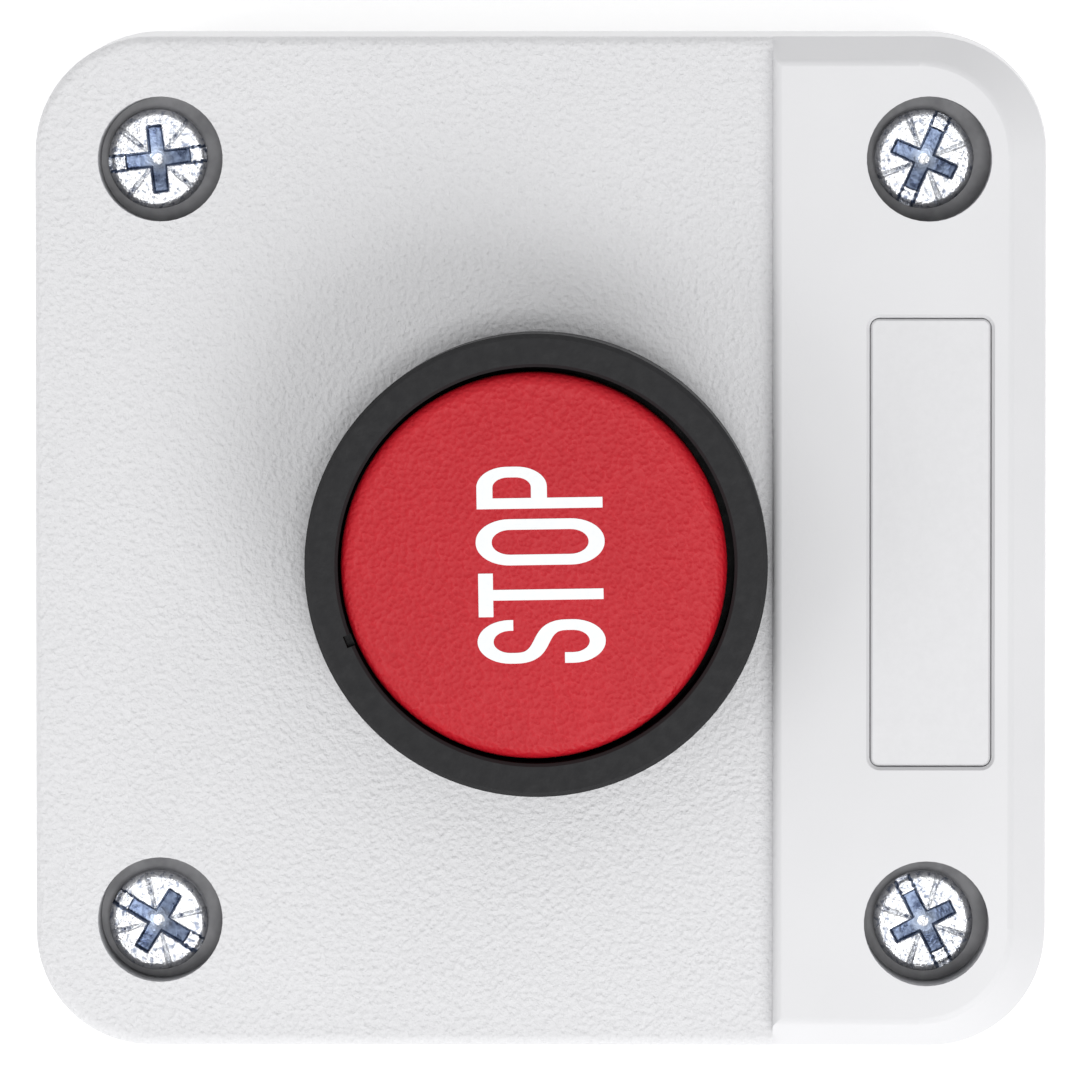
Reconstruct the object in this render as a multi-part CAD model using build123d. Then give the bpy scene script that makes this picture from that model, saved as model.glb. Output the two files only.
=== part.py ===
from build123d import *
import os

# Stop push button in a one-way enclosure. Millimetres, +Z out of the face, Z = 0 on the
# back mounting plane, +Y up as the lettering reads.

# enclosure
LID_SIDE = 68.0
CORNER_R = 8.1
BASE_SIDE = 66.2
PARTING_Z = 36.0
FIELD_Z = 52.0
STRIP_Z = 53.2
STEP_Y = -15.45
WALL = 2.4
FLOOR = 2.5
LID_UNDER_Z = 49.5
SCREW_X = 25.4
SCREW_Y = 25.5
WELL_R = 4.15
WELL_FLOOR_Z = 47.0
MOUNT_PITCH = 54.0
MOUNT_R = 2.15
MOUNT_WEB = 0.5
KNOCKOUT_R = 10.2
KNOCKOUT_Z = 19.0

# label
LABEL_LENGTH = 29.8
LABEL_WIDTH = 8.1
LABEL_Y = -25.9
LABEL_DEPTH = 1.0
LABEL_GAP = 0.1
LABEL_SINK = 0.25

# operating head
AXIS_X = -1.2
AXIS_Y = 0.1
HOLE_R = 11.15
BARREL_R = 11.0
BARREL_BORE_R = 9.2
BARREL_END_Z = 37.0
BEZEL_R = 15.2
BEZEL_INNER_R = 13.02
BEZEL_SEAT_Z = 52.8
BEZEL_TOP_Z = 62.4
CUP_FLOOR_Z = 53.6
WEB_UNDER_Z = 51.4
CAP_R = 12.68
CAP_TOP_Z = 62.55
CAP_DOME = 0.25
CAP_SKIRT_Z = 58.0
STEM_R = 6.0
RUNNING_GAP = 0.05
STEM_END_Z = 38.1
FOOT_R = 2.7
FOOT_TOP_Z = 44.9
CAP_PLAY = 0.15
CAP_TURN = 0.9

# contact unit
HOUSING_HALF_X = 8.0
HOUSING_HALF_Y = 21.0
HOUSING_TOP_Z = 36.6
HOUSING_BOTTOM_Z = 10.4
HOUSING_WALL = 1.6
COVER_T = 1.4
STRIP_T = 1.0
FIXED_STRIP_Z = 29.4
TIP_Y = 9.6
TIP_R = 1.5
TIP_T = 0.8
TIP_GAP = 0.02
TERMINAL_Y = 15.5
PLUNGER_R = 3.0
PLUNGER_TOP_Z = 38.0
CARRIER_TOP_Z = 32.5
CARRIER_BOTTOM_Z = 21.5
BRIDGE_T = 0.8

AXIS = Location((AXIS_X, AXIS_Y, 0))
SCREW_SPOTS = [(x, y) for x in (-SCREW_X, SCREW_X) for y in (-SCREW_Y, SCREW_Y)]

# by corner (sign of X, sign of Y): the slot's angle, and how far the well is off the screw
SLOT_ANGLES = {(1, 1): -83.3, (1, -1): -24.0, (-1, 1): -121.0, (-1, -1): -153.4}
WELL_OFFSETS = {(1, 1): (0.0, -0.3), (1, -1): (0.0, -0.3), (-1, 1): (0.25, -0.25), (-1, -1): (0.1, -0.15)}


def disc(radius, bottom, top, x=0.0, y=0.0):
    return Pos(x, y, (bottom + top) / 2) * Cylinder(radius, top - bottom)


def corner(x, y):
    return (1 if x > 0 else -1, 1 if y > 0 else -1)


def ring(outer, inner, bottom, top):
    return disc(outer, bottom, top) - disc(inner, bottom - 1, top + 1)


def block(x0, x1, y0, y1, z0, z1):
    centre = Pos((x0 + x1) / 2, (y0 + y1) / 2, (z0 + z1) / 2)
    return centre * Box(x1 - x0, y1 - y0, z1 - z0)


def rounded_block(length, width, radius, bottom, top, taper=0.0):
    face = Plane.XY.offset(bottom) * RectangleRounded(length, width, radius)
    return extrude(face, amount=top - bottom, taper=taper)


def coil(radius, wire, bottom, top, turns):
    height = top - bottom - wire
    path = Helix(pitch=height / turns, height=height, radius=radius)
    start = Plane(origin=path @ 0, z_dir=path % 0)
    spring = sweep(start * Circle(wire / 2), path=path)
    return Pos(0, 0, bottom + wire / 2) * spring


def turned_profile(points):
    outline = make_face(Polyline(*[(r, 0, z) for r, z in points], close=True))
    return revolve(outline, Axis.Z)


def base_box():
    taper = -0.8
    body = rounded_block(BASE_SIDE, BASE_SIDE, CORNER_R - 0.9, 0, PARTING_Z, taper)
    body = fillet(body.edges().group_by(Axis.Z)[0], 0.8)
    inner = BASE_SIDE - 2 * WALL
    body -= rounded_block(inner, inner, CORNER_R - 2.8, FLOOR, PARTING_Z + 1, taper)
    for x, y in SCREW_SPOTS:
        sx, sy = corner(x, y)
        body += disc(4.2, FLOOR - 0.5, PARTING_Z, x, y)
        rib_x = sorted((x, sx * 32.0))
        rib_y = sorted((y, sy * 32.0))
        body += block(rib_x[0], rib_x[1], y - 1, y + 1, FLOOR - 0.5, PARTING_Z)
        body += block(x - 1, x + 1, rib_y[0], rib_y[1], FLOOR - 0.5, PARTING_Z)
        body -= disc(1.75, 22.0, PARTING_Z + 1, x, y)
    for y in (-MOUNT_PITCH / 2, MOUNT_PITCH / 2):
        body += disc(4.4, FLOOR - 0.5, FLOOR + 1.0, 0, y)
        body -= disc(MOUNT_R, -1, FLOOR + 1.0 - MOUNT_WEB, 0, y)
    for side in (-1, 1):
        recess = Cylinder(KNOCKOUT_R, 3.0)
        body -= Pos(0, side * (33.35 + 0.2), KNOCKOUT_Z) * Rot(90, 0, 0) * recess
        pip = Cylinder(1.0, 1.0)
        body += Pos(0, side * 32.3, KNOCKOUT_Z) * Rot(90, 0, 0) * pip
    return body


def lid_field():
    taper = 1.79
    body = rounded_block(LID_SIDE, LID_SIDE, CORNER_R, PARTING_Z, FIELD_Z, taper)
    body = fillet(body.edges().group_by(Axis.Z)[-1], 0.7)
    return body & block(-40, 40, STEP_Y, 40, 0, 80)


def lid_strip():
    taper = 1.79
    shoulder_z = 51.0
    side = LID_SIDE - 2 * (shoulder_z - PARTING_Z) * 0.03125
    strip_zone = block(-40, 40, -40, STEP_Y, 0, 80)
    lower = rounded_block(LID_SIDE, LID_SIDE, CORNER_R, PARTING_Z, shoulder_z, taper)
    wide = Plane.XY.offset(shoulder_z) * RectangleRounded(side, side, CORNER_R - 0.47)
    narrow = Plane.XY.offset(STRIP_Z) * RectangleRounded(63.7, 62.5, 6.2)
    upper = loft([wide.face(), narrow.face()], ruled=True) & strip_zone
    upper = fillet(upper.edges().group_by(Axis.Z)[-1], 0.6)
    return (lower & strip_zone) + upper


def lid():
    body = lid_field() + lid_strip()
    inner = LID_SIDE - 2 * 2.6
    body -= rounded_block(inner, inner, CORNER_R - 2.6, PARTING_Z - 1, LID_UNDER_Z)
    wells = []
    for x, y in SCREW_SPOTS:
        dx, dy = WELL_OFFSETS[corner(x, y)]
        wells.append((x + dx, y + dy))
    for x, y in wells:
        body += disc(5.85, PARTING_Z, LID_UNDER_Z + 0.5, x, y)
    for x, y in wells:
        body -= disc(WELL_R, WELL_FLOOR_Z, STRIP_Z + 5, x, y)
        body -= disc(2.1, PARTING_Z - 1, WELL_FLOOR_Z + 1, x, y)
    hole = disc(HOLE_R, LID_UNDER_Z - 1, FIELD_Z + 1)
    hole += block(-1.6, 1.6, 8.0, 12.5, LID_UNDER_Z - 1, FIELD_Z + 1)
    body -= AXIS * hole
    pocket = rounded_block(LABEL_LENGTH, LABEL_WIDTH, 0.7, STRIP_Z - LABEL_DEPTH, STRIP_Z + 1)
    rim = Plane.XY.offset(STRIP_Z - 0.3) * RectangleRounded(LABEL_LENGTH, LABEL_WIDTH, 0.7)
    pocket += extrude(rim, amount=0.6, taper=-35.0)
    body -= Pos(0, LABEL_Y, 0) * pocket
    groove = rounded_block(66.0, 66.0, 7.1, PARTING_Z - 1, PARTING_Z + 1.2)
    groove -= rounded_block(63.9, 63.9, 6.05, PARTING_Z - 2, PARTING_Z + 3)
    body -= groove
    return body


def lid_gasket():
    body = rounded_block(65.9, 65.9, 7.05, PARTING_Z, PARTING_Z + 1.2)
    return body - rounded_block(64.0, 64.0, 6.1, PARTING_Z - 1, PARTING_Z + 3)


def screw_recess(top):
    cut = block(-4, 4, -0.5, 0.5, top - 0.9, top + 1)
    for turn in (0, 90):
        cut += Rot(0, 0, turn) * block(-2.2, 2.2, -0.5, 0.5, top - 1.5, top + 1)
    cut += Pos(0, 0, top - 0.85) * Cone(0.5, 1.35, 1.7)
    tick = extrude(Plane.YZ * Polygon((-0.28, 0), (0.28, 0), (0, -0.3), align=None), 2.4)
    for turn in (45, 135, 225, 315):
        cut += Rot(0, 0, turn) * Pos(0.9, 0, top) * tick
    return cut


def lid_screw(angle):
    top = WELL_FLOOR_Z + 2.4
    head = disc(3.3, WELL_FLOOR_Z, top)
    head = fillet(head.edges().group_by(Axis.Z)[-1], 0.5)
    shank = disc(1.7, 25.0, WELL_FLOOR_Z + 0.2)
    point = Pos(0, 0, 24.2) * Cone(0.6, 1.7, 1.6)
    return (head + shank + point) - Rot(0, 0, angle) * screw_recess(top)


def lid_screws():
    screws = []
    for x, y in SCREW_SPOTS:
        angle = SLOT_ANGLES[corner(x, y)]
        screws.append(Pos(x, y, 0) * lid_screw(angle))
    return Compound(screws)


def label_plate():
    gap = 2 * LABEL_GAP
    top = STRIP_Z - LABEL_SINK
    body = rounded_block(
        LABEL_LENGTH - gap, LABEL_WIDTH - gap, 0.5, STRIP_Z - LABEL_DEPTH, top
    )
    body = chamfer(body.edges().group_by(Axis.Z)[-1], 0.12)
    return Pos(0, LABEL_Y, 0) * body


def bezel():
    profile = [
        (BARREL_BORE_R, BARREL_END_Z),
        (BARREL_R - 0.4, BARREL_END_Z),
        (BARREL_R, BARREL_END_Z + 0.4),
        (BARREL_R, BEZEL_SEAT_Z),
        (BEZEL_R - 0.25, BEZEL_SEAT_Z),
        (BEZEL_R, BEZEL_SEAT_Z + 0.25),
        (BEZEL_R, BEZEL_TOP_Z - 0.3),
        (BEZEL_R - 0.3, BEZEL_TOP_Z),
        (BEZEL_INNER_R + 0.2, BEZEL_TOP_Z),
        (BEZEL_INNER_R, BEZEL_TOP_Z - 0.2),
        (BEZEL_INNER_R, CUP_FLOOR_Z),
        (STEM_R + RUNNING_GAP, CUP_FLOOR_Z),
        (STEM_R + RUNNING_GAP, WEB_UNDER_Z),
        (BARREL_BORE_R, WEB_UNDER_Z),
    ]
    body = turned_profile(profile)
    body += block(-1.5, 1.5, 10.0, 12.2, LID_UNDER_Z + 0.3, BEZEL_SEAT_Z + 0.1)
    body -= Rot(0, 0, 112) * block(12.8, 13.5, -0.4, 0.4, 60.6, BEZEL_TOP_Z + 1)
    for turn in (30, 150, 270):
        body -= Rot(0, 0, turn) * block(9.0, 12.0, -1.5, 1.5, BARREL_END_Z - 1, 38.6)
    return AXIS * body


def bezel_gasket():
    body = ring(14.75, HOLE_R + 1.6, FIELD_Z, BEZEL_SEAT_Z)
    return AXIS * body


def mounting_nut():
    body = ring(14.3, BARREL_R + 0.02, 44.7, LID_UNDER_Z)
    for i in range(8):
        body -= Rot(0, 0, 45 * i) * block(12.9, 15.0, -1.8, 1.8, 43.0, 48.0)
    return AXIS * body


def guide_bush():
    body = ring(BARREL_BORE_R - 0.02, FOOT_R + RUNNING_GAP, 38.9, 40.6)
    for turn in (30, 150, 270):
        body += Rot(0, 0, turn) * block(8.6, 10.6, -1.3, 1.3, BARREL_END_Z + 0.6, 38.5)
        body += Rot(0, 0, turn) * block(7.6, 9.1, -1.3, 1.3, BARREL_END_Z + 0.6, 39.0)
    return AXIS * body


def stem_seal():
    profile = [
        (STEM_R + RUNNING_GAP, CUP_FLOOR_Z),
        (9.0, CUP_FLOOR_Z),
        (9.0, CUP_FLOOR_Z + 0.7),
        (7.2, CUP_FLOOR_Z + 0.9),
        (6.7, CUP_FLOOR_Z + 1.3),
        (STEM_R + RUNNING_GAP, CUP_FLOOR_Z + 1.3),
    ]
    return AXIS * turned_profile(profile)


def dome(radius, top, bottom):
    shoulder = top - CAP_DOME
    mid = (radius / 2, 0, top - CAP_DOME / 4)
    crown = ThreePointArc((radius, 0, shoulder), mid, (0, 0, top))
    sides = Polyline((0, 0, top), (0, 0, bottom), (radius, 0, bottom), (radius, 0, shoulder))
    return Rot(0, 0, 270) * revolve(make_face([crown, sides]), Axis.Z)


def plain_cap():
    body = dome(CAP_R, CAP_TOP_Z, CAP_SKIRT_Z)
    rims = [edge for edge in body.edges() if edge.length > 70 and edge.center().Z > 60]
    body = fillet(rims, 0.85)
    body -= disc(11.1, CAP_SKIRT_Z - 1, 60.4)
    body += disc(8.0, 59.2, 60.6)
    return body


def letter_s(width, height, thick):
    a = (width - thick) / 2
    b = (height - thick) / 2
    bend = b - a
    top_end = height / 2 - 0.28 * height
    low_end = height / 2 - 0.68 * height
    spine = Spline((-a, bend - 0.4), (a, 0.4 - bend), tangents=((0, -1), (0, -1)))
    strokes = [
        Line((a, top_end), (a, bend)),
        ThreePointArc((a, bend), (0, b), (-a, bend)),
        Line((-a, bend), (-a, bend - 0.4)),
        spine,
        Line((a, 0.4 - bend), (a, -bend)),
        ThreePointArc((a, -bend), (0, -b), (-a, -bend)),
        Line((-a, -bend), (-a, low_end)),
    ]
    return trace(strokes, line_width=thick)


def letter_t(width, height, thick):
    bar = Pos(0, height / 2 - thick * 0.46) * Rectangle(width, thick * 0.92)
    return bar + Rectangle(thick, height)


def letter_o(width, height, thick):
    outer = RectangleRounded(width, height, width / 2 - 0.05)
    inner = RectangleRounded(width - 2 * thick, height - 2 * thick, width / 2 - thick - 0.02)
    return outer - inner


def letter_p(width, height, thick):
    bowl_h = 0.56 * height
    bowl_w = width + 1.6
    centre = Pos(-0.8, height / 2 - bowl_h / 2)
    outer = centre * RectangleRounded(bowl_w, bowl_h, 2.0)
    inner = centre * RectangleRounded(bowl_w - 2 * thick, bowl_h - 2 * thick, 1.0)
    bowl = (outer - inner) & Pos(thick / 2, 0) * Rectangle(width - thick, 2 * height)
    return bowl + Pos(-width / 2 + thick / 2, 0) * Rectangle(thick, height)


def lettering_faces():
    squeeze = 2.0 / 3.0
    thick = 1.05
    rows = [
        (letter_s, -4.97, 2.86, 8.4),
        (letter_t, -1.90, 2.86, 8.2),
        (letter_o, 1.56, 3.03, 8.45),
        (letter_p, 5.13, 2.76, 8.25),
    ]
    faces = []
    for shape, x, width, height in rows:
        flat = shape(width / squeeze, height, thick)
        narrow = scale(flat, by=(squeeze, 1, 1))
        faces.append(Pos(x, -0.45) * narrow)
    return faces


def lettering_tools(bottom, top):
    tools = []
    for face in lettering_faces():
        tools.append(extrude(Pos(0, 0, bottom) * face, amount=top - bottom))
    return tools


def stop_lettering():
    skin = dome(CAP_R, CAP_TOP_Z + 0.03, CAP_TOP_Z - 1.2)
    letters = [tool & skin for tool in lettering_tools(CAP_TOP_Z - 0.8, CAP_TOP_Z + 1)]
    solids = []
    for letter in letters:
        solids.extend(letter.solids())
    return AXIS * (Pos(0, CAP_PLAY, 0) * Rot(0, 0, CAP_TURN) * Compound(solids))


def button_cap():
    body = plain_cap()
    for tool in lettering_tools(CAP_TOP_Z - 0.8, CAP_TOP_Z + 1):
        body -= tool
    body = Pos(0, CAP_PLAY, 0) * Rot(0, 0, CAP_TURN) * body
    body -= disc(4.02, 58.0, 60.0)
    return AXIS * body


def stem():
    body = disc(STEM_R, FOOT_TOP_Z, 59.2) + disc(4.0, 59.0, 60.0)
    body += disc(FOOT_R, STEM_END_Z, FOOT_TOP_Z + 0.1)
    body -= ring(STEM_R + 1, 5.3, 50.6, 51.3)
    body = chamfer(body.edges().group_by(Axis.Z)[0], 0.4)
    return AXIS * body


def stem_clip():
    body = ring(8.2, 5.32, 50.65, 51.25)
    body -= block(-3.2, 3.2, -9.0, 0.0, 50.0, 52.0)
    return AXIS * body


def return_spring():
    return AXIS * coil(7.3, 0.8, 40.6, 50.65, 5)


def contact_collar():
    body = rounded_block(30.0, 39.0, 3.0, 37.4, 44.2)
    body = chamfer(body.edges().group_by(Axis.Z)[-1], 0.6)
    body -= disc(BARREL_R + 0.02, 36.0, 45.0)
    body -= block(10.0, 16.0, -0.6, 0.6, 36.0, 45.0)
    body -= Pos(13.0, 0, 40.8) * Rot(90, 0, 0) * Cylinder(1.3, 60.0)
    for y in (-1, 1):
        hook = block(-5.0, 5.0, 0, 1.4, 33.0, 38.0) + block(-5.0, 5.0, -0.5, 0.2, 33.0, 34.2)
        hook = Pos(0, 21.1, 0) * hook
        foot = block(-5.0, 5.0, 19.0, 22.5, 37.4, 39.0)
        body += Rot(0, 0, 0 if y > 0 else 180) * (hook + foot)
    return AXIS * body


def collar_screw():
    head = Pos(0, 0, 1.1) * Cylinder(2.4, 2.2)
    head -= Pos(0, 0, 2.2) * Box(6.0, 0.7, 1.6)
    shank = Pos(0, 0, -9.0) * Cylinder(1.25, 18.4)
    placed = Pos(13.0, 19.5, 40.8) * Rot(-90, 0, 0) * (head + shank)
    return AXIS * placed


def contact_housing():
    x = HOUSING_HALF_X
    y = HOUSING_HALF_Y
    body = block(-x, x - COVER_T, -y, y, HOUSING_BOTTOM_Z, HOUSING_TOP_Z)
    body = fillet(body.edges().filter_by(Axis.X), 1.0)
    body -= block(
        -x + HOUSING_WALL,
        x,
        -y + HOUSING_WALL,
        y - HOUSING_WALL,
        HOUSING_BOTTOM_Z + HOUSING_WALL,
        HOUSING_TOP_Z - HOUSING_WALL,
    )
    body -= disc(PLUNGER_R + RUNNING_GAP, 30.0, 40.0)
    for side in (-1, 1):
        body -= disc(3.2, HOUSING_BOTTOM_Z - 1, 13.0, 0, side * TERMINAL_Y)
        edge = sorted((side * 18.5, side * 22.0))
        body -= block(-2.6, 2.6, edge[0], edge[1], 26.6, 29.3)
        notch = sorted((side * 20.5, side * 22.0))
        body -= block(-5.2, 5.2, notch[0], notch[1], 32.9, 34.5)
        wall = sorted((side * 12.2, side * 11.4))
        body += block(-x + 1, -2.6, wall[0], wall[1], 11.0, 27.0)
        shelf = sorted((side * 8.0, side * 20.0))
        body += block(-x + 1, -3.0, shelf[0], shelf[1], 30.4, 35.5)
    return AXIS * body


def contact_cover():
    x = HOUSING_HALF_X
    y = HOUSING_HALF_Y
    body = block(x - COVER_T, x, -y, y, HOUSING_BOTTOM_Z, HOUSING_TOP_Z)
    body = fillet(body.edges().filter_by(Axis.X), 1.0)
    for side in (-1, 1):
        body += block(3.0, x - 1, side * 14.0 - 4.5, side * 14.0 + 4.5, 30.4, 33.0)
    return AXIS * body


def contact_plunger():
    body = block(-4.2, 4.2, -4.2, 4.2, CARRIER_BOTTOM_Z, CARRIER_TOP_Z)
    body = fillet(body.edges().filter_by(Axis.Z), 0.8)
    body += disc(PLUNGER_R, CARRIER_TOP_Z - 0.5, PLUNGER_TOP_Z)
    under = FIXED_STRIP_Z - 2 * TIP_T - TIP_GAP - BRIDGE_T
    body -= block(-2.35, 2.35, -6.0, 6.0, 24.0, under + BRIDGE_T)
    body -= disc(3.3, CARRIER_BOTTOM_Z - 1, 22.6)
    return AXIS * body


def contact_bridge():
    under = FIXED_STRIP_Z - 2 * TIP_T - TIP_GAP - BRIDGE_T
    face = Plane.XY.offset(under) * RectangleRounded(4.6, 23.0, 1.2)
    body = extrude(face, amount=BRIDGE_T)
    return AXIS * body


def bridge_tips():
    top = FIXED_STRIP_Z - TIP_T - TIP_GAP
    tips = [disc(TIP_R, top - TIP_T, top, 0, side * TIP_Y) for side in (-1, 1)]
    return AXIS * Compound(tips)


def bridge_spring():
    under = FIXED_STRIP_Z - 2 * TIP_T - TIP_GAP - BRIDGE_T
    return AXIS * coil(1.7, 0.4, 24.0, under, 3)


def contact_spring():
    floor = HOUSING_BOTTOM_Z + HOUSING_WALL
    return AXIS * coil(2.8, 0.5, floor, 22.6, 6)


def fixed_contact(side):
    y = sorted((side * 8.0, side * 19.0))
    body = block(-2.4, 2.4, y[0], y[1], FIXED_STRIP_Z, FIXED_STRIP_Z + STRIP_T)
    boss = disc(2.4, FIXED_STRIP_Z, FIXED_STRIP_Z + 2.2, 0, side * TERMINAL_Y)
    hole = disc(1.5, FIXED_STRIP_Z - 1, FIXED_STRIP_Z + 3, 0, side * TERMINAL_Y)
    return AXIS * (body + boss - hole)


def fixed_tips():
    low = FIXED_STRIP_Z - TIP_T
    tips = [disc(TIP_R, low, FIXED_STRIP_Z, 0, side * TIP_Y) for side in (-1, 1)]
    return AXIS * Compound(tips)


def terminal_clamps():
    clamps = []
    for side in (-1, 1):
        y = side * TERMINAL_Y
        plate = block(-2.5, 2.5, y - 2.8, y + 2.8, 26.3, 27.4)
        plate -= disc(1.6, 26.0, 28.0, 0, y)
        clamps.append(plate)
    return AXIS * Compound(clamps)


def terminal_screws():
    screws = []
    for side in (-1, 1):
        y = side * TERMINAL_Y
        screw = disc(2.6, 24.1, 26.3, 0, y) + disc(1.5, 26.2, 32.2, 0, y)
        screw -= block(-3.0, 3.0, y - 0.35, y + 0.35, 23.5, 25.0)
        screw -= block(-0.35, 0.35, y - 1.6, y + 1.6, 23.5, 25.0)
        screws.append(screw)
    return AXIS * Compound(screws)


NODES = {
    "base_box": base_box,
    "lid": lid,
    "lid_gasket": lid_gasket,
    "lid_screws": lid_screws,
    "label_plate": label_plate,
    "bezel": bezel,
    "bezel_gasket": bezel_gasket,
    "mounting_nut": mounting_nut,
    "guide_bush": guide_bush,
    "stem_seal": stem_seal,
    "button_cap": button_cap,
    "stop_lettering": stop_lettering,
    "stem": stem,
    "stem_clip": stem_clip,
    "return_spring": return_spring,
    "contact_collar": contact_collar,
    "collar_screw": collar_screw,
    "contact_housing": contact_housing,
    "contact_cover": contact_cover,
    "contact_plunger": contact_plunger,
    "contact_bridge": contact_bridge,
    "bridge_tips": bridge_tips,
    "bridge_spring": bridge_spring,
    "contact_spring": contact_spring,
    "fixed_contact_left": lambda: fixed_contact(-1),
    "fixed_contact_right": lambda: fixed_contact(1),
    "fixed_tips": fixed_tips,
    "terminal_clamps": terminal_clamps,
    "terminal_screws": terminal_screws,
}

os.makedirs("parts", exist_ok=True)
for node, make in NODES.items():
    shape = make()
    solids = shape.solids()
    volume = sum(solid.volume for solid in solids)
    print(node, "solids", len(solids), "volume", round(volume, 2))
    export_step(shape, f"parts/{node}.step")
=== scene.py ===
import math
import random

import bmesh
import bpy
from mathutils import Matrix, Vector


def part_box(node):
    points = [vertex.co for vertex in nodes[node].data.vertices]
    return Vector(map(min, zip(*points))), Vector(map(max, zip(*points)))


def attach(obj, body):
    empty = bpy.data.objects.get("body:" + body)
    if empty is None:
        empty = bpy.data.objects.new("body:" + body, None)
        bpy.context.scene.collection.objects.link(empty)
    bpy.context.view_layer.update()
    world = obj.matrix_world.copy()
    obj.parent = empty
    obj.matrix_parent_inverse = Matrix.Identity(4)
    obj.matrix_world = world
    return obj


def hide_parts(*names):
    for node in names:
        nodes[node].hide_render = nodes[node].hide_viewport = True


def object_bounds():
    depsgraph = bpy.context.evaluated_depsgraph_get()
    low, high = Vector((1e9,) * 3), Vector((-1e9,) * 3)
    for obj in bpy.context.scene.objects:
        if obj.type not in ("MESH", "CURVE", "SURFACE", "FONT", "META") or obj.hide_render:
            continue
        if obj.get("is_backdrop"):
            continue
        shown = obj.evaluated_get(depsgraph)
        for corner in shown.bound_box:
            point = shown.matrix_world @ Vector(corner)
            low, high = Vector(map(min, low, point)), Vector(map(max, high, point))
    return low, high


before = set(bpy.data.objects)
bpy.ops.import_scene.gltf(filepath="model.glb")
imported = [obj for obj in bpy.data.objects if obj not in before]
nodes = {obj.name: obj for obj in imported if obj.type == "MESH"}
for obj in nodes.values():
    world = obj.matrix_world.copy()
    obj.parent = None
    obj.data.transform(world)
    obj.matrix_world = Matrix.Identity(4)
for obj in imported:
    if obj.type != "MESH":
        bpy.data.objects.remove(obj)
cad_low, cad_high = (v.copy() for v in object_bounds())

MM = 0.001
HEAD_R = 3.3 * MM
FIELD_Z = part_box("bezel_gasket")[0][2]
STEP_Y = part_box("bezel")[0][1] - 0.35 * MM
SCREW_LOW, SCREW_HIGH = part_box("lid_screws")
WELL_X = SCREW_HIGH[0] - HEAD_R
WELL_Y = SCREW_HIGH[1] - HEAD_R
WELL_REACH = 4.6 * MM


# ---------------------------------------------------------------- node helpers

class Shader:
    """A small wrapper that adds nodes and links to one material."""

    def __init__(self, name):
        self.material = bpy.data.materials.new(name)
        self.material.use_nodes = True
        self.tree = self.material.node_tree
        self.surface = self.tree.nodes["Principled BSDF"]
        self.place = self.tree.nodes.new("ShaderNodeTexCoord").outputs["Object"]

    def node(self, kind, **settings):
        made = self.tree.nodes.new(kind)
        for key, value in settings.items():
            setattr(made, key, value)
        return made

    def link(self, source, target):
        self.tree.links.new(source, target)

    def feed(self, target, value):
        """Set a socket to a number or a colour, or link another node's output to it."""
        if isinstance(value, (int, float, tuple)):
            target.default_value = value
        else:
            self.link(value, target)

    def noise(self, scale, detail=4.0, roughness=0.55, place=None):
        made = self.node("ShaderNodeTexNoise")
        made.inputs["Scale"].default_value = scale
        made.inputs["Detail"].default_value = detail
        made.inputs["Roughness"].default_value = roughness
        self.link(place or self.place, made.inputs["Vector"])
        return made.outputs["Fac"]

    def stretch(self, factors):
        made = self.node("ShaderNodeMapping")
        made.inputs["Scale"].default_value = factors
        self.link(self.place, made.inputs["Vector"])
        return made.outputs["Vector"]

    def cells(self, scale, feature="F1"):
        made = self.node("ShaderNodeTexVoronoi", feature=feature)
        made.inputs["Scale"].default_value = scale
        self.link(self.place, made.inputs["Vector"])
        return made.outputs["Distance"]

    def math(self, operation, a, b=0.0, clamp=False):
        made = self.node("ShaderNodeMath", operation=operation, use_clamp=clamp)
        self.feed(made.inputs[0], a)
        self.feed(made.inputs[1], b)
        return made.outputs[0]

    def remap(self, value, low, high, new_low=0.0, new_high=1.0):
        made = self.node("ShaderNodeMapRange")
        self.feed(made.inputs["Value"], value)
        made.inputs["From Min"].default_value = low
        made.inputs["From Max"].default_value = high
        made.inputs["To Min"].default_value = new_low
        made.inputs["To Max"].default_value = new_high
        return made.outputs["Result"]

    def mix(self, factor, a, b):
        made = self.node("ShaderNodeMix", data_type="RGBA")
        self.feed(made.inputs["Factor"], factor)
        self.feed(made.inputs["A"], a)
        self.feed(made.inputs["B"], b)
        return made.outputs["Result"]

    def axis(self, name):
        made = self.node("ShaderNodeSeparateXYZ")
        self.link(self.place, made.inputs[0])
        return made.outputs[name]

    def edge_wear(self):
        """1 on sharp outer edges, 0 on flat faces."""
        point = self.node("ShaderNodeNewGeometry").outputs["Pointiness"]
        return self.remap(point, 0.50, 0.60)

    def bump(self, height, distance, strength=1.0, under=None):
        made = self.node("ShaderNodeBump")
        made.inputs["Distance"].default_value = distance
        self.feed(made.inputs["Strength"], strength)
        self.link(height, made.inputs["Height"])
        if under is not None:
            self.link(under, made.inputs["Normal"])
        return made.outputs["Normal"]

    def finish(self, colour, roughness, normal=None, metallic=0.0, specular=0.5):
        self.feed(self.surface.inputs["Base Color"], colour)
        self.feed(self.surface.inputs["Roughness"], roughness)
        self.surface.inputs["Metallic"].default_value = metallic
        self.surface.inputs["Specular IOR Level"].default_value = specular
        if normal is not None:
            self.link(normal, self.surface.inputs["Normal"])
        return self.material


def linear(red, green, blue):
    """Display values 0 to 255 as scene-linear colour."""
    def one(value):
        part = value / 255
        return part / 12.92 if part <= 0.04045 else ((part + 0.055) / 1.055) ** 2.4
    return (one(red), one(green), one(blue), 1.0)


def shade(colour, factor, lift=0.0):
    """A colour made darker or lighter, at most white."""
    return tuple(min(1.0, c * factor + lift) for c in colour[:3]) + (1.0,)


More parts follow.
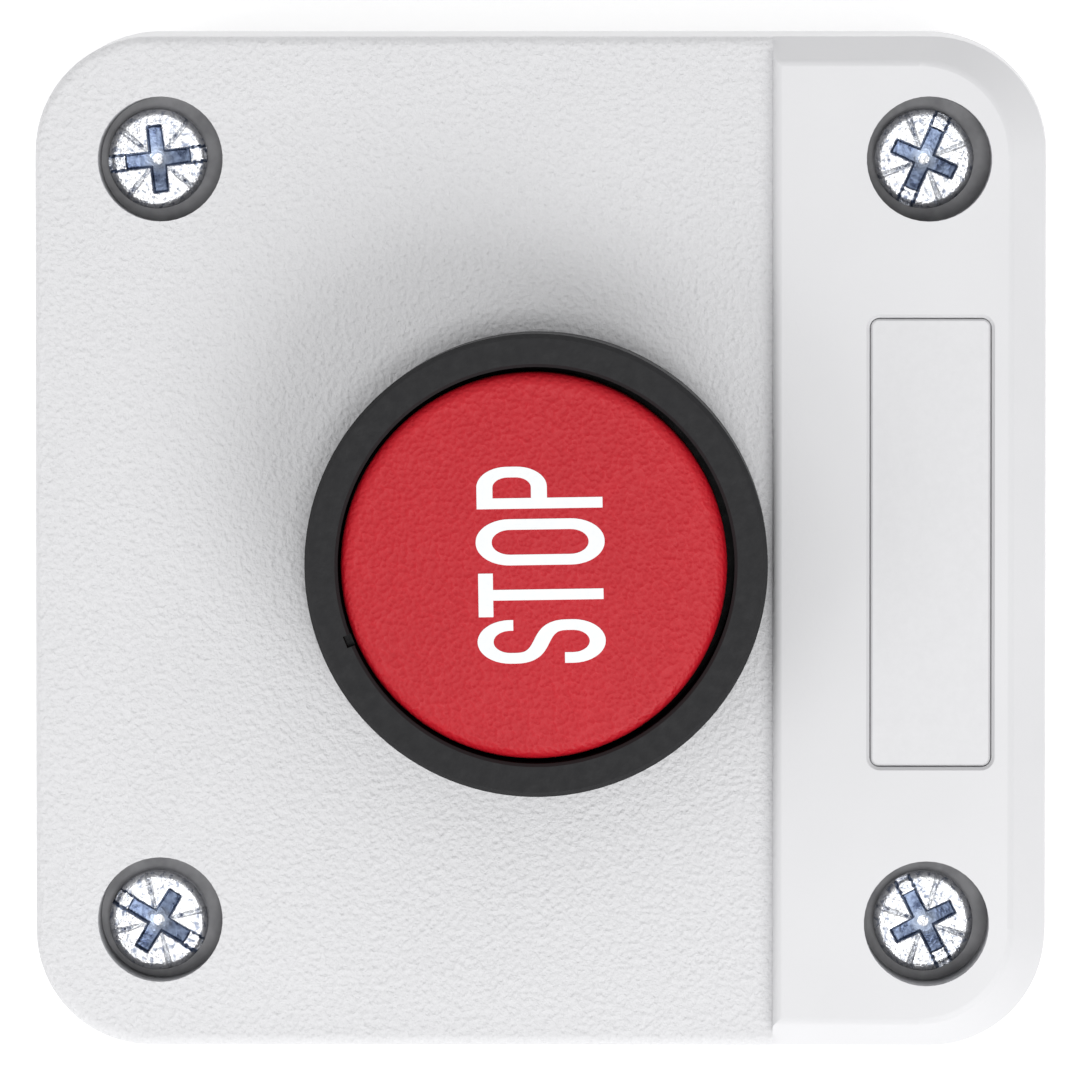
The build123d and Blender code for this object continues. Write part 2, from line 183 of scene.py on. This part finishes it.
def moulded_plastic(
    name, colour, grain=0.22 * MM, depth=0.012 * MM, rough=0.5, specular=0.4,
    flow=0.45, sway=0.06
):
    """Moulded plastic with a fine spark-eroded grain, faint flow marks and softened edges."""
    s = Shader(name)
    dark = shade(colour, 0.93)
    light = shade(colour, 1.05)
    marks = s.remap(s.noise(45.0, 3.0), 0.35, 0.65)
    fine = s.noise(0.7 / grain, 3.0, 0.6)
    tone = s.math("ADD", s.math("MULTIPLY", marks, flow), s.math("MULTIPLY", fine, 1.0 - flow))
    tint = s.mix(tone, dark, light)
    tint = s.mix(s.math("MULTIPLY", s.edge_wear(), 0.35), tint, light)
    sheen = s.remap(s.noise(0.25 / grain, 2.0), 0.3, 0.7, rough - sway, rough + sway)
    normal = s.bump(fine, depth)
    return s.finish(tint, sheen, normal, specular=specular)


def near_screws(s):
    """Distance from the nearest screw's axis, taking the four as mirror images."""
    across = s.math("SUBTRACT", s.math("ABSOLUTE", s.axis("X")), WELL_X)
    along = s.math("SUBTRACT", s.math("ABSOLUTE", s.axis("Y")), WELL_Y)
    squared = s.math("ADD", s.math("MULTIPLY", across, across), s.math("MULTIPLY", along, along))
    return s.math("SQRT", squared)


def near_wells(s):
    """1 inside the four screw wells and 0 outside them."""
    return s.remap(near_screws(s), WELL_REACH, WELL_REACH + 0.3 * MM, 1.0, 0.0)


def lid_plastic():
    """Light-grey cover plastic: grained on the flat field, smoother on the raised strip and the
    sides, with painted shade darkening the walls of the screw wells."""
    s = Shader("lid_plastic_grained")
    base = linear(218, 218, 220)
    dark = linear(209, 209, 211)
    light = linear(227, 227, 229)
    behind_step = s.remap(s.axis("Y"), STEP_Y - 0.2 * MM, STEP_Y + 0.1 * MM)
    near_top = s.remap(s.axis("Z"), FIELD_Z - 2.5 * MM, FIELD_Z - 0.8 * MM)
    on_field = s.math("MULTIPLY", behind_step, near_top)
    grain = s.noise(3000.0, 3.0, 0.65)
    pits = s.remap(s.cells(2700.0, "SMOOTH_F1"), 0.1, 0.7)
    field = s.math("ADD", s.math("MULTIPLY", grain, 0.7), s.math("MULTIPLY", pits, 0.3))
    strip = s.noise(1500.0, 2.0, 0.5)
    cloud = s.noise(60.0, 3.0)
    speckle = s.math("MULTIPLY", s.math("SUBTRACT", field, 0.5), on_field)
    tone = s.math("ADD", s.remap(cloud, 0.3, 0.7, 0.35, 0.65), s.math("MULTIPLY", speckle, 1.8))
    tint = s.mix(s.math("ADD", tone, 0.0, clamp=True), dark, light)
    tint = s.mix(s.math("MULTIPLY", on_field, 0.6), tint, linear(228, 228, 230))
    tint = s.mix(s.math("MULTIPLY", s.edge_wear(), 0.3), tint, base)
    # Painted shade: the screw wells' walls are greyed, more the deeper they go, in uneven patches.
    well_shade_depth = s.remap(s.axis("Z"), FIELD_Z - 0.2 * MM, FIELD_Z - 2.2 * MM)
    painted_well_shade = s.math("MULTIPLY", near_wells(s), well_shade_depth)
    well_shade_patchiness = s.remap(s.noise(420.0, 3.0), 0.3, 0.7, 0.50, 0.95)
    tint = s.mix(s.math("MULTIPLY", painted_well_shade, well_shade_patchiness), tint, linear(128, 128, 132))
    rough = s.remap(on_field, 0.0, 1.0, 0.42, 0.62)
    fine = s.bump(strip, 0.004 * MM)
    coarse = s.bump(field, 0.20 * MM, s.remap(on_field, 0.0, 1.0, 0.04, 1.0), fine)
    return s.finish(tint, rough, coarse, specular=0.4)


def grained_cap(name, colour):
    """Cap plastic with a leather-like grain: soft cells broken by fine creases."""
    s = Shader(name)
    dark = shade(colour, 0.80)
    light = shade(colour, 1.12)
    warp = s.noise(900.0, 2.0)
    creases = s.remap(s.cells(3400.0, "SMOOTH_F1"), 0.1, 0.75)
    fine = s.noise(4200.0, 4.0, 0.6)
    grain = s.math("ADD", s.math("MULTIPLY", creases, 0.55), s.math("MULTIPLY", fine, 0.45))
    cloud = s.remap(s.noise(120.0, 3.0), 0.3, 0.7, 0.3, 0.7)
    tone = s.math("ADD", s.math("MULTIPLY", cloud, 0.5), s.math("MULTIPLY", grain, 0.5))
    tint = s.mix(tone, dark, light)
    tint = s.mix(s.math("MULTIPLY", s.edge_wear(), 0.25), tint, light)
    normal = s.bump(grain, 0.09 * MM)
    normal = s.bump(warp, 0.02 * MM, 0.6, normal)
    return s.finish(tint, s.remap(grain, 0.3, 0.7, 0.52, 0.40), normal, specular=0.35)


def rubber(name, colour):
    """Matt rubber with a pale dusty bloom."""
    s = Shader(name)
    bloom = s.remap(s.noise(220.0, 5.0), 0.35, 0.75)
    dusty = shade(colour, 1.9, 0.01)
    tint = s.mix(s.math("MULTIPLY", bloom, 0.5), colour, dusty)
    normal = s.bump(s.noise(2600.0, 4.0), 0.02 * MM)
    return s.finish(tint, s.remap(bloom, 0.0, 1.0, 0.62, 0.8), normal, specular=0.3)


def zinc(name):
    """Bright zinc plate: rough stamped facets and small pits."""
    s = Shader(name)
    stamp = s.noise(2600.0, 5.0, 0.7)
    pits = s.remap(s.cells(5200.0), 0.05, 0.5)
    bright = linear(244, 245, 247)
    blue = linear(140, 148, 166)
    tint = s.mix(s.remap(stamp, 0.36, 0.50), blue, bright)
    rough = s.remap(stamp, 0.3, 0.7, 0.34, 0.16)
    normal = s.bump(stamp, 0.055 * MM)
    normal = s.bump(pits, 0.025 * MM, 0.7, normal)
    return s.finish(tint, rough, normal, metallic=1.0)


def zinc_recess(name):
    """Zinc painted dark blue-grey as shade for the driver recess and the slot's side walls, lighter
    near the screw's axis.
    """
    s = Shader(name)
    streak = s.noise(1700.0, 4.0, 0.65)
    centre = s.remap(near_screws(s), 0.4 * MM, 1.0 * MM, 1.0, 0.0)
    tint = s.mix(s.remap(streak, 0.35, 0.65), linear(62, 72, 96), linear(132, 146, 172))
    tint = s.mix(s.math("MULTIPLY", centre, 0.6), tint, linear(176, 186, 202))
    normal = s.bump(streak, 0.05 * MM)
    return s.finish(tint, s.remap(streak, 0.3, 0.7, 0.22, 0.40), normal, metallic=1.0)


def metal(name, colour, rough, line=(1.0, 1.0, 1.0)):
    """Bare metal with drawing marks, stretched along an axis where line is small."""
    s = Shader(name)
    drawn = s.noise(1800.0, 4.0, 0.6, s.stretch(line))
    dark = shade(colour, 0.8)
    tint = s.mix(s.remap(drawn, 0.35, 0.7), dark, colour)
    normal = s.bump(drawn, 0.02 * MM)
    return s.finish(tint, s.remap(drawn, 0.3, 0.7, rough - 0.07, rough + 0.08), normal, metallic=1.0)


def paint(node, material):
    """Give one material to every slot of a CAD node."""
    for entry in nodes[node].material_slots:
        entry.link = "OBJECT"
        entry.material = material


def smooth(obj, angle=32.0):
    """Smooth shading across gentle bends; edges sharper than the angle stay crisp."""
    mesh = obj.data
    mesh.polygons.foreach_set("use_smooth", [True] * len(mesh.polygons))
    mesh.set_sharp_from_angle(angle=math.radians(angle))


# ---------------------------------------------------------------- finishes

LID = lid_plastic()
BASE = moulded_plastic("base_plastic_grained", linear(205, 205, 207), rough=0.55)
LABEL = moulded_plastic(
    "label_insert", linear(214, 214, 216), 0.3 * MM, 0.002 * MM, 0.40, flow=0.05, sway=0.015
)
RED = grained_cap("red_cap_grained", linear(190, 18, 34))
WHITE = moulded_plastic("white_lettering", linear(240, 242, 243), 0.25 * MM, 0.01 * MM, 0.5)
BLACK = moulded_plastic("black_ring", linear(30, 30, 32), 0.20 * MM, 0.03 * MM, 0.55, 0.25)
DARK = moulded_plastic("dark_nut", linear(52, 52, 55))
GREY = moulded_plastic("grey_stem", linear(110, 111, 113))
IVORY = moulded_plastic("ivory_bush", linear(214, 210, 200))
HOUSING = moulded_plastic("housing_grey", linear(96, 98, 101))
COVER = moulded_plastic("cover_grey", linear(140, 142, 145))
RUBBER = rubber("black_rubber", (0.028, 0.028, 0.030, 1.0))
ZINC = zinc("zinc_screw_stamped")
RECESS_SHADE = zinc_recess("zinc_recess_painted_shade")
SPRING = metal("spring_wire", (0.55, 0.55, 0.56, 1.0), 0.3)
COPPER = metal("copper_strip", (0.80, 0.47, 0.30, 1.0), 0.34, (0.2, 1.0, 1.0))
SILVER = metal("silver_tip", (0.86, 0.85, 0.82, 1.0), 0.25)

FINISH = {
    "base_box": BASE, "lid": LID, "lid_gasket": RUBBER, "lid_screws": ZINC,
    "label_plate": LABEL, "bezel": BLACK, "bezel_gasket": RUBBER, "mounting_nut": DARK,
    "guide_bush": IVORY, "stem_seal": RUBBER, "button_cap": RED, "stop_lettering": WHITE,
    "stem": GREY, "stem_clip": SPRING, "return_spring": SPRING, "contact_collar": DARK,
    "collar_screw": ZINC, "contact_housing": HOUSING, "contact_cover": COVER,
    "contact_plunger": IVORY, "contact_bridge": COPPER, "bridge_tips": SILVER,
    "bridge_spring": SPRING, "contact_spring": SPRING, "fixed_contact_left": COPPER,
    "fixed_contact_right": COPPER, "fixed_tips": SILVER, "terminal_clamps": ZINC,
    "terminal_screws": ZINC,
}
for node_name, finish_material in FINISH.items():
    paint(node_name, finish_material)
    smooth(nodes[node_name])


# ---------------------------------------------------------------- lid screws

HEAD_H = 2.4 * MM
SHANK_R = 1.7 * MM
POINT_R = 0.6 * MM
POINT_H = 1.6 * MM
HEAD_TOP = SCREW_HIGH[2]
SIDE_TOP = 0.75 * MM
LIP_WIDTH = 0.5 * MM
LIP_DROP = 0.32 * MM
CROWN_DROP = 0.10 * MM
SOFT = 0.14 * MM
SLOT_HALF = 0.5 * MM
ARM_HALF = 0.52 * MM
ARM_REACH = 2.2 * MM
SLOT_DEPTH = 0.62 * MM
ARM_DEPTH = 0.75 * MM
CONE_DEPTH = 0.9 * MM
TICK_HALF = 0.16 * MM
TICK_DEPTH = 0.24 * MM
SLOT_DEGREES = {(1, 1): -83.3, (1, -1): -24.0, (-1, 1): -121.0, (-1, -1): -153.4}


def soft_step(value, edge, width):
    """1 well below the edge, 0 well above it, smooth over the width."""
    t = min(1.0, max(0.0, (edge + width / 2 - value) / width))
    return t * t * (3 - 2 * t)


def head_depth(u, v):
    """Depth of the head's top below its highest point, and whether that spot takes the painted
    recess shade.

    u runs along the full-width slot and v across it."""
    radius = math.hypot(u, v)
    crown = CROWN_DROP * (radius / HEAD_R) ** 2
    lip = max(0.0, (radius - HEAD_R + LIP_WIDTH) / LIP_WIDTH)
    crown += LIP_DROP * lip ** 2.4
    slot = SLOT_DEPTH * soft_step(abs(v), SLOT_HALF, SOFT)
    arm = 0.0
    for along, across in ((abs(u), abs(v)), (abs(v), abs(u))):
        flare = ARM_HALF * (1.0 - 0.12 * along / ARM_REACH)
        inside = soft_step(across, flare, SOFT) * soft_step(along, ARM_REACH, SOFT)
        arm = max(arm, inside)
    slope = max(0.0, 1.0 - radius / ARM_REACH)
    arm *= ARM_DEPTH + 0.35 * MM * slope
    cone = CONE_DEPTH * soft_step(radius, 0.85 * MM, 0.9 * MM)
    tick = 0.0
    diagonal = math.pi / 2
    angle = math.atan2(v, u) - math.pi / 4
    off = radius * math.sin(angle - diagonal * round(angle / diagonal))
    if radius > 0.8 * MM:
        half = TICK_HALF * (0.55 + 0.6 * radius / HEAD_R)
        tick = TICK_DEPTH * max(0.0, 1.0 - abs(off) / half)
    depth = max(slot, arm, cone if arm > 0.2 * MM or radius < 0.7 * MM else 0.0, tick)
    # Painted shade: spots down in the cross recess and on the slot's side walls take the dark recess
    # material.
    on_slot_side = SLOT_HALF - 0.10 * MM <= abs(v) < SLOT_HALF + 0.12 * MM and radius > ARM_REACH
    in_recess = max(arm, cone * 0.6) > 0.3 * MM and radius > 0.35 * MM
    return crown + depth, in_recess or on_slot_side


def screw_mesh(name, x, y, turn):
    """A pan-head screw: a polar grid for the stamped top, then the head's side and the shank."""
    spokes = 200
    rings = 64
    rng = random.Random(name)
    ripple = [rng.uniform(0, 2 * math.pi) for _ in range(6)]
    mesh = bmesh.new()
    rows = []
    centre = None
    for i in range(rings + 1):
        radius = HEAD_R * i / rings
        row = []
        for j in range(spokes if i else 1):
            angle = 2 * math.pi * j / spokes
            rag = 1.0 + 0.008 * (i / rings) * sum(
                math.sin((k + 2) * angle + ripple[k]) for k in range(3)
            )
            depth, _ = head_depth(radius * math.cos(angle), radius * math.sin(angle))
            reach = min(radius * rag, HEAD_R)
            place = angle + turn
            row.append(mesh.verts.new((
                x + reach * math.cos(place), y + reach * math.sin(place), HEAD_TOP - depth
            )))
        if i == 0:
            centre = row[0]
        else:
            rows.append(row)
    profile = [
        (HEAD_R, HEAD_TOP - SIDE_TOP), (HEAD_R, HEAD_TOP - HEAD_H),
        (SHANK_R, HEAD_TOP - HEAD_H), (SHANK_R, SCREW_LOW[2] + POINT_H),
        (POINT_R, SCREW_LOW[2]),
    ]
    for radius, height in profile:
        row = []
        for j in range(spokes):
            place = 2 * math.pi * j / spokes + turn
            row.append(mesh.verts.new(
                (x + radius * math.cos(place), y + radius * math.sin(place), height)
            ))
        rows.append(row)
    for j in range(spokes):
        face = mesh.faces.new((centre, rows[0][j], rows[0][(j + 1) % spokes]))
        face.material_index = 1
    for i in range(len(rows) - 1):
        for j in range(spokes):
            k = (j + 1) % spokes
            face = mesh.faces.new((rows[i][j], rows[i + 1][j], rows[i + 1][k], rows[i][k]))
            if i < rings - 1:
                radius = HEAD_R * (i + 1.5) / rings
                angle = 2 * math.pi * (j + 0.5) / spokes
                # Faces down in the recess and on the slot walls get the painted shade material.
                _, recess_shaded = head_depth(radius * math.cos(angle), radius * math.sin(angle))
                face.material_index = 1 if recess_shaded else 0
    mesh.faces.new(list(reversed(rows[-1])))
    bmesh.ops.recalc_face_normals(mesh, faces=mesh.faces)
    data = bpy.data.meshes.new(name)
    mesh.to_mesh(data)
    mesh.free()
    data.materials.append(ZINC)
    # Slot 1 holds the painted shade for the driver recess and slot walls.
    data.materials.append(RECESS_SHADE)
    obj = bpy.data.objects.new(name, data)
    bpy.context.scene.collection.objects.link(obj)
    smooth(obj, 60.0)
    return obj


def lid_screws():
    """Four screws in the corners of the CAD screws' box, each with its own turn."""
    spots = {
        (sx, sy): (
            SCREW_HIGH[0] - HEAD_R if sx > 0 else SCREW_LOW[0] + HEAD_R,
            SCREW_HIGH[1] - HEAD_R if sy > 0 else SCREW_LOW[1] + HEAD_R,
        )
        for sx in (1, -1) for sy in (1, -1)
    }
    for number, (corner, (x, y)) in enumerate(sorted(spots.items()), 1):
        turn = math.radians(SLOT_DEGREES[corner])
        piece = screw_mesh(f"lid_screw_{number}", x, y, turn)
        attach(piece, "enclosure")
        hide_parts("lid_screws")


lid_screws()


# ---------------------------------------------------------------- floor, light, camera

def floor():
    """A pale paper sheet just under the part, so that the two faces don't meet."""
    bpy.ops.mesh.primitive_plane_add(size=12.0, location=(0, 0, cad_low[2] - FLOOR_GAP))
    plane = bpy.context.object
    plane.name = "studio_floor"
    s = Shader("studio_floor_paper")
    s.surface.inputs["Emission Color"].default_value = (1, 1, 1, 1)
    s.surface.inputs["Emission Strength"].default_value = 0.45
    s.finish((0.9, 0.9, 0.9, 1.0), 0.9, specular=0.0)
    plane.data.materials.append(s.material)
    plane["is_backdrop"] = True


LID_AIM_Z = 0.05
FLOOR_GAP = 0.1 * MM


def aim(obj, target):
    """Turn a light to face a point."""
    obj.rotation_mode = "QUATERNION"
    obj.rotation_quaternion = (Vector(target) - obj.location).to_track_quat("-Z", "Y")


def softbox(name, place, size, power):
    """A round area light that faces the lid."""
    light = bpy.data.lights.new(name, "AREA")
    light.shape = "DISK"
    light.size = size
    light.energy = power
    obj = bpy.data.objects.new(name, light)
    bpy.context.scene.collection.objects.link(obj)
    obj.location = place
    aim(obj, (0, 0, LID_AIM_Z))


def studio():
    """White surroundings with three soft lights."""
    world = bpy.data.worlds.new("studio_world")
    bpy.context.scene.world = world
    world.use_nodes = True
    sky = world.node_tree.nodes["Background"]
    sky.inputs["Color"].default_value = (1.0, 1.0, 1.0, 1.0)
    sky.inputs["Strength"].default_value = 0.60
    softbox("key_low_right", (-0.36, -0.24, 0.46), 0.36, 1.25)
    softbox("fill_left", (-0.45, 0.75, 0.70), 0.6, 1.9)
    softbox("overhead", (-0.15, -0.10, 1.9), 0.35, 7.0)


def camera():
    """A long lens, looking down on the lid nearly square on, with +X up in the picture."""
    distance = 0.80
    tilt_x = math.radians(2.0)
    tilt_y = math.radians(0.9)
    aim_at = Vector((0.05 * MM, 0.03 * MM, LID_AIM_Z))
    away = Vector((math.sin(tilt_x), -math.sin(tilt_y), 0.0))
    away.z = math.sqrt(1.0 - away.length_squared)
    data = bpy.data.cameras.new("camera")
    data.lens = 400.7
    data.sensor_width = 36.0
    data.clip_start = 0.01
    data.clip_end = 50.0
    obj = bpy.data.objects.new("camera", data)
    bpy.context.scene.collection.objects.link(obj)
    right = Vector((1, 0, 0)).cross(away).normalized()
    up = away.cross(right)
    turn = Matrix((right, up, away)).transposed().to_4x4()
    obj.matrix_world = Matrix.Translation(aim_at + away * distance) @ turn
    bpy.context.scene.camera = obj


floor()
studio()
camera()
bpy.context.scene.view_settings.view_transform = "Standard"
